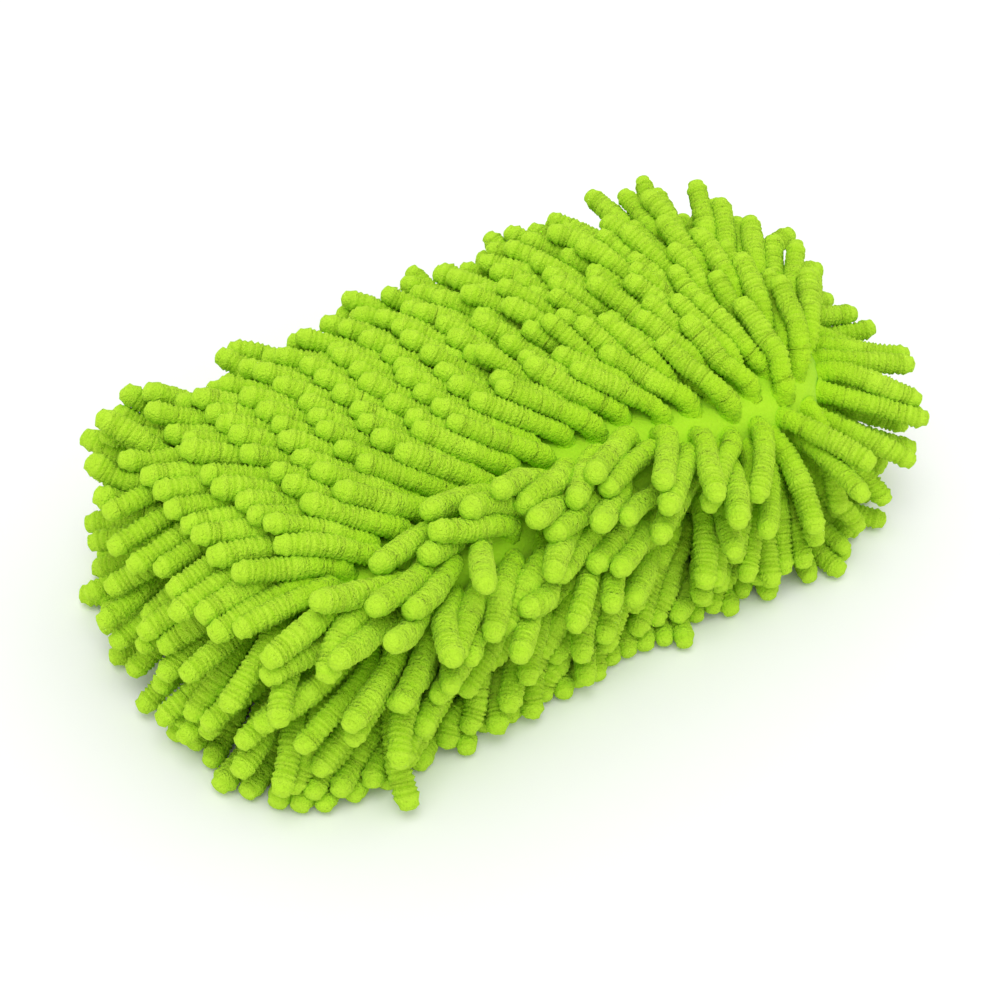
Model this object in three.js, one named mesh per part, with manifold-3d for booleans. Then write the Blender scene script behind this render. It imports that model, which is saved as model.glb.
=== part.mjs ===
// Chenille wash mitt: a foam block in a knitted cover with rows of chenille fingers,
// closed by a flat back panel that carries an elastic hand strap.
// Units are millimetres, +Z is up, the block's long side runs along X.
// The mitt lies on its back: the pile stands on the ground at z = 0 and the strap is underneath.

import * as THREE from 'three';
import { mergeVertices } from 'three/addons/utils/BufferGeometryUtils.js';
import Module from 'manifold-3d';

const wasm = await Module();
wasm.setup();

// ---- driving dimensions ----
const BLOCK_LENGTH = 186; // covered block, along X
const BLOCK_WIDTH = 78; // covered block, along Y
const BLOCK_HEIGHT = 41; // from the seam with the back panel to the cloth on top
const CORNER_RADIUS = 24; // upright corners of the block
const EDGE_RADIUS = 12; // rounded rim round the top
const CLOTH_WALL = 1.2; // knitted base cloth
const CLEARANCE = 0.3; // between pieces that lie on each other

const PILE_LENGTH = 30; // free length of a chenille finger
const TOP_ROWS = 19;
const SIDE_ROWS = 4;
const ROW_GAP = 0.4; // between neighbouring rows
const ROOT_GAP = 0.4; // between the cloth and the root of a row
const TOP_LEAN = 50; // degrees from upright, towards the near end (-X)
const LONG_SIDE_LEAN = 45; // degrees below the outward direction
const NEAR_END_LEAN = 15;
const FAR_END_LEAN = 8;
const TIP_CHAMFER = 0.3; // of a row's thickness

const PANEL_THICKNESS = 1.5; // back panel
const BINDING_WIDTH = 2.4; // seam binding, outwards
const BINDING_HEIGHT = 3;
const STRAP_WIDTH = 60; // elastic strap, along X
const STRAP_THICKNESS = 1.6;
const STRAP_END_LENGTH = 12; // sewn part at each side
const STRAP_RAMP = 8; // where the strap leaves the panel, along Y
const HAND_GAP = 6; // between the strap and the panel at rest
const GROUND_GAP = 0.6; // between the strap and the ground
const TACK_WIDTH = 3; // bar tack across the strap's end
const TACK_THICKNESS = 0.6;
const TACK_MARGIN = 2; // from the strap's edges
const LABEL_LENGTH = 22; // care label, along X
const LABEL_WIDTH = 14;
const LABEL_THICKNESS = 0.4;
const LABEL_GAP_X = 14; // from the strap's edge

const CORNER_STEPS = 6; // facets of a quarter circle in plan
const EDGE_STEPS = 5; // facets of the rounded rim
const TOP_STEPS = 14; // stations across a top row

const HALF_LENGTH = BLOCK_LENGTH / 2;
const HALF_WIDTH = BLOCK_WIDTH / 2;
const STRAP_LEVEL_TOP_Z = GROUND_GAP + STRAP_THICKNESS;
const PANEL_BASE_Z = STRAP_LEVEL_TOP_Z + HAND_GAP;
const PANEL_TOP_Z = PANEL_BASE_Z + PANEL_THICKNESS;
const COVER_BASE_Z = PANEL_TOP_Z + CLEARANCE;
const COVER_TOP_Z = COVER_BASE_Z + BLOCK_HEIGHT;
const EDGE_CENTRE_Z = COVER_TOP_Z - EDGE_RADIUS;
const HALF_RIM_ARC = EDGE_RADIUS * Math.PI / 4; // half of the rim belongs to the sides
const SIDE_PITCH = (EDGE_CENTRE_Z - COVER_BASE_Z + HALF_RIM_ARC) / SIDE_ROWS;
const TOP_PITCH = (BLOCK_LENGTH - 2 * EDGE_RADIUS + 2 * HALF_RIM_ARC) / TOP_ROWS;
const PANEL_INSET = BINDING_WIDTH + CLEARANCE;
const STRAP_END_TOP_Z = PANEL_BASE_Z - CLEARANCE;
const STRAP_END_OUTER_Y = HALF_WIDTH - PANEL_INSET;
const STRAP_END_INNER_Y = STRAP_END_OUTER_Y - STRAP_END_LENGTH;

// ---- materials ----
const chenilleGreen = new THREE.MeshStandardMaterial({ color: 0x93c628, roughness: 0.95, metalness: 0 });
const clothGreen = new THREE.MeshStandardMaterial({ color: 0x86b524, roughness: 0.9, metalness: 0 });
const foamCream = new THREE.MeshStandardMaterial({ color: 0xe9dfae, roughness: 1, metalness: 0 });
const meshGreen = new THREE.MeshStandardMaterial({ color: 0x6f9a1f, roughness: 0.85, metalness: 0 });
const strapBlack = new THREE.MeshStandardMaterial({ color: 0x1c1d1f, roughness: 0.8, metalness: 0 });
const threadBlack = new THREE.MeshStandardMaterial({ color: 0x2a2b2d, roughness: 0.6, metalness: 0 });
const labelWhite = new THREE.MeshStandardMaterial({ color: 0xeceae4, roughness: 0.5, metalness: 0 });

const mitt = new THREE.Group();

function degrees(angle) {
  return angle * Math.PI / 180;
}

function addPiece(parent, name, geometry, material) {
  const mesh = new THREE.Mesh(geometry, material);
  mesh.name = name;
  parent.add(mesh);
  return mesh;
}

// ---- solids ----
function toSolid(geometry) {
  const bare = geometry.clone();
  bare.deleteAttribute('normal');
  bare.deleteAttribute('uv');
  const merged = mergeVertices(bare);
  return new wasm.Manifold(new wasm.Mesh({
    numProp: 3,
    vertProperties: new Float32Array(merged.attributes.position.array),
    triVerts: new Uint32Array(merged.index.array),
  }));
}

function toGeometry(solid) {
  const mesh = solid.getMesh();
  const geometry = new THREE.BufferGeometry();
  geometry.setAttribute('position', new THREE.BufferAttribute(new Float32Array(mesh.vertProperties), 3));
  geometry.setIndex(new THREE.BufferAttribute(new Uint32Array(mesh.triVerts), 1));
  geometry.computeVertexNormals();
  return geometry;
}

function roundedPlan(inset) {
  const x = HALF_LENGTH - inset;
  const y = HALF_WIDTH - inset;
  const r = CORNER_RADIUS - inset;
  const plan = new THREE.Shape();
  plan.moveTo(x - r, -y);
  plan.absarc(x - r, -y + r, r, -Math.PI / 2, 0);
  plan.absarc(x - r, y - r, r, 0, Math.PI / 2);
  plan.absarc(-x + r, y - r, r, Math.PI / 2, Math.PI);
  plan.absarc(-x + r, -y + r, r, Math.PI, Math.PI * 1.5);
  return plan;
}

// a block with the cover's plan, pulled in by inset all round and on top, flat underneath
function roundedBlock(inset, baseZ) {
  const rim = EDGE_RADIUS - inset;
  const depth = EDGE_CENTRE_Z - baseZ;
  const body = new THREE.ExtrudeGeometry(roundedPlan(EDGE_RADIUS), {
    depth,
    curveSegments: CORNER_STEPS / 2,
    bevelEnabled: true,
    bevelSize: rim,
    bevelThickness: rim,
    bevelSegments: EDGE_STEPS,
  });
  body.translate(0, 0, baseZ);
  const below = new THREE.BoxGeometry(2 * BLOCK_LENGTH, 2 * BLOCK_WIDTH, 2 * EDGE_RADIUS);
  below.translate(0, 0, baseZ - EDGE_RADIUS);
  return toSolid(body).subtract(toSolid(below));
}

// ---- block ----
function coverCloth() {
  const outside = roundedBlock(0, COVER_BASE_Z);
  const hollow = roundedBlock(CLOTH_WALL, COVER_BASE_Z - CLOTH_WALL);
  return toGeometry(outside.subtract(hollow));
}

function foamCore() {
  return toGeometry(roundedBlock(CLOTH_WALL + CLEARANCE, COVER_BASE_Z + CLEARANCE));
}

function backPanel() {
  const panel = new THREE.ExtrudeGeometry(roundedPlan(PANEL_INSET), {
    depth: PANEL_THICKNESS,
    curveSegments: CORNER_STEPS / 2,
    bevelEnabled: false,
  });
  panel.translate(0, 0, PANEL_BASE_Z);
  return panel;
}

// a ring round the seam between the cover and the back panel
function seamBinding() {
  const ring = roundedPlan(0);
  ring.holes.push(roundedPlan(BINDING_WIDTH));
  const binding = new THREE.ExtrudeGeometry(ring, {
    depth: BINDING_HEIGHT,
    curveSegments: CORNER_STEPS / 2,
    bevelEnabled: false,
  });
  binding.translate(0, 0, PANEL_TOP_Z - BINDING_HEIGHT);
  return binding;
}

// ---- rows of chenille ----
// A row's section has x along the cloth towards where the fingers lean, and y outwards.
// tilt turns the outward direction towards x where the cloth curves away over the rim,
// and the root narrows with it, so that it stays clear of the next row on the flat.
function rowSection(pitch, lean, tilt, reachLimit) {
  const thickness = pitch * Math.cos(tilt) ** 2 * Math.cos(lean) - ROW_GAP;
  const chamfer = thickness * TIP_CHAMFER;
  const along = new THREE.Vector2(Math.sin(lean), Math.cos(lean));
  const across = new THREE.Vector2(Math.cos(lean), -Math.sin(lean));
  const rootHalf = thickness / 2 / Math.cos(lean);
  function corner(length, side) {
    return along.clone().multiplyScalar(length).addScaledVector(across, side);
  }
  const outline = [
    new THREE.Vector2(-rootHalf, 0),
    new THREE.Vector2(rootHalf, 0),
    corner(PILE_LENGTH - chamfer, thickness / 2),
    corner(PILE_LENGTH, thickness / 2 - chamfer),
    corner(PILE_LENGTH, chamfer - thickness / 2),
    corner(PILE_LENGTH - chamfer, -thickness / 2),
  ];
  const origin = new THREE.Vector2();
  const turned = outline.map((point) => point.rotateAround(origin, -tilt));
  return new THREE.Shape(clippedBeyond(turned, reachLimit));
}

// the part of a convex outline with x up to limit
function clippedBeyond(outline, limit) {
  const kept = [];
  outline.forEach((point, index) => {
    const next = outline[(index + 1) % outline.length];
    if (point.x <= limit) {
      kept.push(point);
    }
    if ((point.x <= limit) !== (next.x <= limit)) {
      kept.push(point.clone().lerp(next, (limit - point.x) / (next.x - point.x)));
    }
  });
  return kept;
}

// A path whose stations are spaced as its own parameter says,
// and whose section keeps its x along one fixed direction.
class RowPath extends THREE.Curve {
  constructor(place, sectionX) {
    super();
    this.place = place;
    this.sectionX = sectionX;
  }

  getPoint(t, target = new THREE.Vector3()) {
    return this.place(t, target);
  }

  getUtoTmapping(u) {
    return u;
  }

  computeFrenetFrames(segments) {
    const tangents = Array.from({ length: segments + 1 }, (_, index) => this.getTangent(index / segments));
    const normals = tangents.map(() => this.sectionX.clone());
    const binormals = tangents.map((tangent) => tangent.clone().cross(this.sectionX).normalize());
    return { tangents, normals, binormals };
  }
}

function sweep(section, place, sectionX, steps) {
  return new THREE.ExtrudeGeometry(section, { extrudePath: new RowPath(place, sectionX), steps });
}

// height of the smooth cover over a point of the plan
function coverHeight(x, y) {
  const qx = Math.abs(x) - (HALF_LENGTH - CORNER_RADIUS);
  const qy = Math.abs(y) - (HALF_WIDTH - CORNER_RADIUS);
  const outside = Math.hypot(Math.max(qx, 0), Math.max(qy, 0)) + Math.min(Math.max(qx, qy), 0);
  const depth = Math.max(CORNER_RADIUS - outside, 0);
  const fall = Math.max(EDGE_RADIUS - depth, 0);
  return EDGE_CENTRE_Z + Math.sqrt(EDGE_RADIUS ** 2 - Math.min(fall, EDGE_RADIUS) ** 2);
}

// half length of a top row, up to the middle of the rounded rim at its outermost edge
function topRowHalf(edgeX) {
  const rimMiddle = EDGE_RADIUS * (1 - Math.SQRT1_2);
  const radius = CORNER_RADIUS - rimMiddle;
  const intoCorner = Math.max(Math.abs(edgeX) - (HALF_LENGTH - CORNER_RADIUS), 0);
  return HALF_WIDTH - CORNER_RADIUS + Math.sqrt(Math.max(radius ** 2 - intoCorner ** 2, 0));
}

function topRow(index) {
  const station = (index + 0.5) * TOP_PITCH - HALF_RIM_ARC; // 0 where the flat top begins
  const flat = BLOCK_LENGTH - 2 * EDGE_RADIUS;
  const overNear = Math.max(-station, 0) / EDGE_RADIUS;
  const overFar = Math.max(station - flat, 0) / EDGE_RADIUS;
  const tilt = overNear - overFar;
  const onFlat = THREE.MathUtils.clamp(station, 0, flat);
  const x = EDGE_RADIUS - HALF_LENGTH + onFlat - EDGE_RADIUS * Math.sin(tilt);
  const rootHalf = TOP_PITCH / 2;
  const edgeX = Math.abs(x) + rootHalf * Math.cos(tilt);
  const half = topRowHalf(edgeX);
  function place(t, target) {
    const y = -half * Math.cos(Math.PI * t);
    const heights = [-1, 0, 1].map((side) => {
      const away = side * rootHalf;
      return coverHeight(x + away * Math.cos(tilt), y) - away * Math.sin(tilt);
    });
    return target.set(0, y, Math.max(...heights) + ROOT_GAP);
  }
  const section = rowSection(TOP_PITCH, degrees(TOP_LEAN) + overFar, tilt, Infinity);
  const towardsNear = new THREE.Vector3(-1, 0, 0);
  return { geometry: sweep(section, place, towardsNear, TOP_STEPS), x };
}

// A row along one side, made for the side that faces +Y, from mid-corner to mid-corner.
function sideRow(index, face, straightHalf, lean) {
  const station = (index + 0.5) * SIDE_PITCH;
  const wallHeight = EDGE_CENTRE_Z - COVER_BASE_Z;
  const rise = Math.max(station - wallHeight, 0) / EDGE_RADIUS;
  const rootZ = COVER_BASE_Z + Math.min(station, wallHeight) + (EDGE_RADIUS + ROOT_GAP) * Math.sin(rise);
  const inset = EDGE_RADIUS - (EDGE_RADIUS + ROOT_GAP) * Math.cos(rise);
  const radius = CORNER_RADIUS - inset;
  const sweepAngle = Math.PI / 4 - ROW_GAP / radius;
  const arcSteps = CORNER_STEPS / 2;
  const steps = 2 * arcSteps + 1;
  function place(t, target) {
    const k = t * steps;
    const side = k < steps / 2 ? -1 : 1;
    const past = Math.max(Math.abs(k - steps / 2) - 0.5, 0) / arcSteps;
    const angle = side * past * sweepAngle;
    const alongWall = THREE.MathUtils.clamp((k - steps / 2) * 2, -1, 1) * straightHalf;
    const x = alongWall + radius * Math.sin(angle);
    const y = face - CORNER_RADIUS + radius * Math.cos(angle);
    return target.set(x, y, rootZ);
  }
  const section = rowSection(SIDE_PITCH, degrees(lean) + rise / 2, -rise, rootZ);
  return sweep(section, place, new THREE.Vector3(0, 0, -1), steps);
}

function addTopRows(parent) {
  for (let index = 0; index < TOP_ROWS; index += 1) {
    const number = String(index + 1).padStart(2, '0');
    const row = topRow(index);
    addPiece(parent, `top_row_${number}`, row.geometry, chenilleGreen).position.x = row.x;
  }
}

function addSideRows(parent) {
  const longHalf = HALF_LENGTH - CORNER_RADIUS;
  const shortHalf = HALF_WIDTH - CORNER_RADIUS;
  const sides = [
    { name: 'rear', turn: 0, face: HALF_WIDTH, straightHalf: longHalf, lean: LONG_SIDE_LEAN },
    { name: 'near', turn: Math.PI / 2, face: HALF_LENGTH, straightHalf: shortHalf, lean: NEAR_END_LEAN },
    { name: 'front', turn: Math.PI, face: HALF_WIDTH, straightHalf: longHalf, lean: LONG_SIDE_LEAN },
    { name: 'far', turn: -Math.PI / 2, face: HALF_LENGTH, straightHalf: shortHalf, lean: FAR_END_LEAN },
  ];
  for (const side of sides) {
    for (let index = 0; index < SIDE_ROWS; index += 1) {
      const geometry = sideRow(index, side.face, side.straightHalf, side.lean);
      const name = `${side.name}_row_${index + 1}`;
      addPiece(parent, name, geometry, chenilleGreen).rotation.z = side.turn;
    }
  }
}

// ---- hand strap ----
function slab(length, width, thickness, topZ) {
  const box = new THREE.BoxGeometry(length, width, thickness);
  box.translate(0, 0, topZ - thickness / 2);
  return box;
}

// the free part of the strap: down from the panel on both sides and level between
function strapBand() {
  const outerY = STRAP_END_INNER_Y - CLEARANCE;
  const innerY = outerY - STRAP_RAMP;
  const top = [
    [-outerY, STRAP_END_TOP_Z],
    [-innerY, STRAP_LEVEL_TOP_Z],
    [innerY, STRAP_LEVEL_TOP_Z],
    [outerY, STRAP_END_TOP_Z],
  ];
  const points = top.map(([y, z]) => new THREE.Vector2(y, z));
  const under = points.map((point) => new THREE.Vector2(point.x, point.y - STRAP_THICKNESS)).reverse();
  const band = new THREE.ExtrudeGeometry(new THREE.Shape([...points, ...under]), {
    depth: STRAP_WIDTH,
    bevelEnabled: false,
  });
  // profile drawn as (y, z), extruded along x
  band.rotateY(Math.PI / 2);
  band.rotateX(Math.PI / 2);
  band.translate(-STRAP_WIDTH / 2, 0, 0);
  return band;
}

function addStrap(parent) {
  addPiece(parent, 'hand_strap', strapBand(), strapBlack);
  const endCentre = (STRAP_END_OUTER_Y + STRAP_END_INNER_Y) / 2;
  const tackTop = STRAP_END_TOP_Z - STRAP_THICKNESS - CLEARANCE;
  const tackLength = STRAP_WIDTH - 2 * TACK_MARGIN;
  for (const [name, side] of [['front', -1], ['rear', 1]]) {
    const end = slab(STRAP_WIDTH, STRAP_END_LENGTH, STRAP_THICKNESS, STRAP_END_TOP_Z);
    addPiece(parent, `strap_end_${name}`, end, strapBlack).position.y = side * endCentre;
    const tack = slab(tackLength, TACK_WIDTH, TACK_THICKNESS, tackTop);
    addPiece(parent, `bar_tack_${name}`, tack, threadBlack).position.y = side * endCentre;
  }
}

function careLabel() {
  return slab(LABEL_LENGTH, LABEL_WIDTH, LABEL_THICKNESS, PANEL_BASE_Z - CLEARANCE);
}

// ---- assembly ----
addPiece(mitt, 'foam_core', foamCore(), foamCream);
addPiece(mitt, 'cover_cloth', coverCloth(), clothGreen);
addPiece(mitt, 'back_panel', backPanel(), meshGreen);
addPiece(mitt, 'seam_binding', seamBinding(), clothGreen);
addTopRows(mitt);
addSideRows(mitt);
addStrap(mitt);
const label = addPiece(mitt, 'care_label', careLabel(), labelWhite);
label.position.x = STRAP_WIDTH / 2 + LABEL_GAP_X + LABEL_LENGTH / 2;
label.position.y = STRAP_END_OUTER_Y - LABEL_WIDTH / 2;

// the origin is under the middle of the whole mitt, so the block sits off it a little
const bounds = new THREE.Box3().setFromObject(mitt, true);
mitt.position.x = -(bounds.min.x + bounds.max.x) / 2;

export default mitt;
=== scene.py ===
# Chenille wash mitt: soft fingers on a knitted, foam-filled block, with a strap across its back.
# Units are metres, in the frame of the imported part: +Z up, the block's long side along X.
import math

import bmesh
import bpy
import numpy as np
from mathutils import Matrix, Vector


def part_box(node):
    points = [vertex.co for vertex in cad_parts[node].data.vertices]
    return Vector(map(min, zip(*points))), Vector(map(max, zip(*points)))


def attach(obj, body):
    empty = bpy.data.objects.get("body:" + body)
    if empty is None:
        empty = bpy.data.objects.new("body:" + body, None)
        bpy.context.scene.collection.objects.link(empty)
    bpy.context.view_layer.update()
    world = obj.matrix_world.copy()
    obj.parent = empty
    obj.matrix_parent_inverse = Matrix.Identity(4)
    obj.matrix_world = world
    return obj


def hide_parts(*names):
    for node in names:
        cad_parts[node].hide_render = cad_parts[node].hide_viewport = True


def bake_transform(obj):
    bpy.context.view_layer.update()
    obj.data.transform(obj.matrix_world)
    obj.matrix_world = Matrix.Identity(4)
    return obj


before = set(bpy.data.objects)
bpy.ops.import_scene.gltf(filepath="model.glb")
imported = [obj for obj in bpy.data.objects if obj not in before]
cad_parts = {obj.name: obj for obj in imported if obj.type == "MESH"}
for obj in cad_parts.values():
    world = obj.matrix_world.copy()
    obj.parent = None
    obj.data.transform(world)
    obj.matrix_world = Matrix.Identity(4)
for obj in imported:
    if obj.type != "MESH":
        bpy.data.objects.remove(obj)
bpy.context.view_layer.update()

MM = 0.001
random = np.random.default_rng(11)

# ---- camera and light ----
CAMERA_AZIMUTH = math.radians(-44.7)
CAMERA_ELEVATION = math.radians(43.4)
CAMERA_ROLL = math.radians(8)
CAMERA_DISTANCE = 0.5866
CAMERA_TARGET = Vector((0, 0, 0.0323))
CAMERA_SENSOR = 36
CAMERA_LENS = 76
CAMERA_SHIFT = (-0.0184, -0.0441)
FLOOR_SIZE = 60
FLOOR_GREY = 0.93
SKY_STRENGTH = 0.85
KEY_LIGHT_AIM = Vector((0.25, 0.15, -1))
KEY_LIGHT_SPREAD = math.radians(35)
KEY_LIGHT_STRENGTH = 1.1

# ---- the block under the pile, as the part has it ----
CORNER_RADIUS = 24 * MM
RIM_RADIUS = 12 * MM
cover_low, cover_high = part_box("cover_cloth")
BLOCK_CENTRE = np.array([(cover_low.x + cover_high.x) / 2, (cover_low.y + cover_high.y) / 2])
BLOCK_HALF = np.array([(cover_high.x - cover_low.x) / 2, (cover_high.y - cover_low.y) / 2])
COVER_TOP = cover_high.z
COVER_BASE = cover_low.z
RIM_CENTRE = COVER_TOP - RIM_RADIUS
HALF_RIM_ARC = RIM_RADIUS * math.pi / 4
PARTING_STATION = 50.5 * MM  # how far up the front wall and over the rim the pile is parted
HALF_PARTING = 2.8 * MM
ZIGZAG = 5.4 * MM  # every other front finger is rooted this much lower
FRONT = 2  # quarter turns from the rear to the front
END_ROW_TURN = math.radians(48)  # how far the top's end rows follow the corners

# ---- chenille fingers ----
FINGER_LENGTH = 32.5 * MM
FINGER_RADIUS = 3.05 * MM
ROOT_FLARE = 1.2 * MM
ROOT_DEPTH = 1.6 * MM  # how far the root is sunk in the cover
FINGER_SPACING = 6.5 * MM
FRONT_CLOSER = 0.78  # spacing along the front's rows, as a share of the others'
ROOT_SCATTER = 0.5 * MM
FINGER_POINTS = 10
TOUCH = 0.95  # how near two middle lines may come, as a share of a finger's width
FLOOR_CLEARANCE = 0.8 * MM
SETTLE_STEPS = 150
COMBING = 0.6  # share of the steps over which the fingers are combed over
BEND_ZONE = 0.42  # share of a finger, from its root, over which it bends
SAG = 0.05 * MM  # how far each point falls at each step
STIFFNESS = 0.2
RIB_PITCH = 1.35 * MM
RIB_SLANT = math.radians(3.0)
FINGER_SIDES = 12
STRAIGHT_FINGERS = 6
TIP_LENGTH = 0.9 * FINGER_RADIUS
TIP_RINGS = np.radians([20, 45, 68, 84])
TIP_RIBS = np.array([-0.30, 0.16, -0.14, 0.0]) * MM  # how those rings stand in and out
NAP_GRAIN = 1.1 * MM
NAP_DEPTH = 0.45 * MM

# ---- cover and back ----
COVER_WALL = 1.0 * MM
FOAM_INSET = 1.5 * MM
PANEL_INSET = 2.7 * MM
NET_CELL = 2.6 * MM
NET_WIRE = 0.7 * MM
TAPE_EDGE = 3.0 * MM
TAPE_STITCH = (2.4 * MM, 0.28 * MM)
TAPE_STITCH_PITCH = 3.4 * MM
RIB_OF_STRAP = 1.5 * MM
RIB_HALF_WIDTH = 0.56 * RIB_OF_STRAP
RIB_HALF_HEIGHT = 0.55 * MM
RIB_CUTS = 36
WEFT_PITCH = 1.9 * MM
# From the middle of the strap: where it leaves the block, and where it follows the hand.
TACK_PITCH = 0.8 * MM
TACK_RADIUS = 0.3 * MM


# ---- camera, floor and light ----
def add_camera():
    back = Vector((math.sin(CAMERA_AZIMUTH) * math.cos(CAMERA_ELEVATION),
                   -math.cos(CAMERA_AZIMUTH) * math.cos(CAMERA_ELEVATION),
                   math.sin(CAMERA_ELEVATION)))
    data = bpy.data.cameras.new("camera")
    data.sensor_width = CAMERA_SENSOR
    data.lens = CAMERA_LENS
    data.shift_x, data.shift_y = CAMERA_SHIFT
    camera = bpy.data.objects.new("camera", data)
    bpy.context.collection.objects.link(camera)
    camera.location = CAMERA_TARGET + back * CAMERA_DISTANCE
    turn = (-back).to_track_quat("-Z", "Y").to_matrix()
    right, up = turn.col[0].copy(), turn.col[1].copy()
    c, s = math.cos(CAMERA_ROLL), math.sin(CAMERA_ROLL)
    turn.col[0] = c * right + s * up
    turn.col[1] = -s * right + c * up
    camera.rotation_mode = "QUATERNION"
    camera.rotation_quaternion = turn.to_quaternion()
    bpy.context.scene.camera = camera


def add_floor():
    bpy.ops.mesh.primitive_plane_add(size=FLOOR_SIZE)
    floor = bpy.context.active_object
    floor.name = "floor"
    material, _, _ = new_material("pale floor", (FLOOR_GREY, FLOOR_GREY, FLOOR_GREY), 0.9)
    floor.data.materials.append(material)


def add_lights():
    world = bpy.data.worlds.new("studio")
    bpy.context.scene.world = world
    world.use_nodes = True
    background = world.node_tree.nodes["Background"]
    background.inputs["Color"].default_value = (1, 1, 1, 1)
    background.inputs["Strength"].default_value = SKY_STRENGTH
    data = bpy.data.lights.new("soft key", "SUN")
    data.angle = KEY_LIGHT_SPREAD
    data.energy = KEY_LIGHT_STRENGTH
    lamp = bpy.data.objects.new("soft key", data)
    bpy.context.collection.objects.link(lamp)
    lamp.rotation_mode = "QUATERNION"
    lamp.rotation_quaternion = KEY_LIGHT_AIM.to_track_quat("-Z", "Y")


# ---- where the fingers are rooted ----
def smooth(value, low, high):
    """0 up to low, 1 from high on, and an even swing between."""
    t = np.clip((value - low) / (high - low), 0, 1)
    return t * t * (3 - 2 * t)


def profile(station):
    """Inset from the side wall, and height, at a distance up the wall, round the rim and on."""
    wall = RIM_CENTRE - COVER_BASE
    if station <= wall:
        return 0.0, COVER_BASE + station
    angle = min((station - wall) / RIM_RADIUS, math.pi / 2)
    beyond = station - wall - RIM_RADIUS * angle
    return RIM_RADIUS * (1 - math.cos(angle)) + beyond, RIM_CENTRE + RIM_RADIUS * math.sin(angle)


def parting(x):
    """How far up and over the front the pile is parted: it comes down the rim to the far end."""
    high = PARTING_STATION - 5.5 * MM * smooth(-x, 50 * MM, 60 * MM)
    return high - 12 * MM * smooth(x, 15 * MM, 48 * MM) - 3.5 * MM * smooth(x, 48 * MM, 80 * MM)


def cloth(points):
    """Distance outside the cover, and the outward direction, at each point."""
    local = points[:, :2] - BLOCK_CENTRE
    q = np.abs(local) - (BLOCK_HALF - CORNER_RADIUS)
    both = np.maximum(q, 0)
    length = np.hypot(both[:, 0], both[:, 1])
    flat = length + np.minimum(q.max(axis=1), 0) - CORNER_RADIUS
    in_corner = (q > 0).all(axis=1)
    wider = (q[:, 0] > q[:, 1])
    gradient = np.where(wider[:, None], [[1.0, 0.0]], [[0.0, 1.0]])
    gradient[in_corner] = both[in_corner] / length[in_corner, None]
    gradient = gradient * np.where(local >= 0, 1.0, -1.0)
    height = points[:, 2] - RIM_CENTRE
    across = flat + RIM_RADIUS
    over = (height > 0) & (across > 0)
    above = (height > 0) & ~over
    reach = np.maximum(np.hypot(across, height), 1e-9)
    distance = np.where(over, reach - RIM_RADIUS, np.where(above, height - RIM_RADIUS, flat))
    normal = np.zeros_like(points)
    normal[:, :2] = gradient
    normal[over, :2] = gradient[over] * (across[over] / reach[over])[:, None]
    normal[over, 2] = height[over] / reach[over]
    normal[above] = (0, 0, 1)
    return distance, normal


def spread_along(length, shift, closer=1.0):
    """Places along a row, centred, alternate rows shifted by half a space."""
    count = max(2, round(length / (FINGER_SPACING * closer)))
    pitch = length / count
    return (np.arange(count) + 0.5 - count / 2 + (0.25 if shift else -0.25)) * pitch


def on_the_cover(x, y):
    """A place given from the block's centre, dropped onto the cover's top or rim."""
    probe = np.array([[x + BLOCK_CENTRE[0], y + BLOCK_CENTRE[1], COVER_TOP + 0.1]])
    for _ in range(12):
        probe[0, 2] -= cloth(probe)[0][0]
    return probe[0]


def end_row(side, over, shift):
    """Places of a row on the top's rim, at one end, that runs on round both corners."""
    places = []
    radius = CORNER_RADIUS - RIM_RADIUS * (1 - math.sin(over))
    straight = BLOCK_HALF[1] - CORNER_RADIUS
    for s in spread_along(2 * straight + 2 * radius * END_ROW_TURN, shift):
        past = max(abs(s) - straight, 0) / radius
        x = side * (BLOCK_HALF[0] - CORNER_RADIUS + radius * math.cos(past))
        places.append((x, math.copysign(min(abs(s), straight) + radius * math.sin(past), s)))
    return places


def cross_row(x, shift):
    """Places of a row straight across the top, from the parting to the rear rim."""
    into_corner = max(abs(x) - (BLOCK_HALF[0] - CORNER_RADIUS), 0)
    radius = CORNER_RADIUS - RIM_RADIUS * (1 - math.sqrt(0.5))
    rear = BLOCK_HALF[1] - CORNER_RADIUS + math.sqrt(radius ** 2 - into_corner ** 2)
    front = min(BLOCK_HALF[1] - profile(parting(x) + HALF_PARTING)[0], rear)
    return [(x, s + (rear - front) / 2) for s in spread_along(rear + front, shift)]


def top_roots(index, count):
    """Roots of one of the rows across the top, counted from the near end."""
    length = 2 * BLOCK_HALF[0] - 2 * RIM_RADIUS
    pitch = (length + 2 * HALF_RIM_ARC) / count
    station = (index + 0.5) * pitch
    over = max(HALF_RIM_ARC - station, station - HALF_RIM_ARC - length) / RIM_RADIUS
    if over > 0:
        places = end_row(-1 if index == 0 else 1, over, index % 2)
    else:
        places = cross_row(-BLOCK_HALF[0] + RIM_RADIUS + station - HALF_RIM_ARC, index % 2)
    return np.array([on_the_cover(x, y) for x, y in places])


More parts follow.
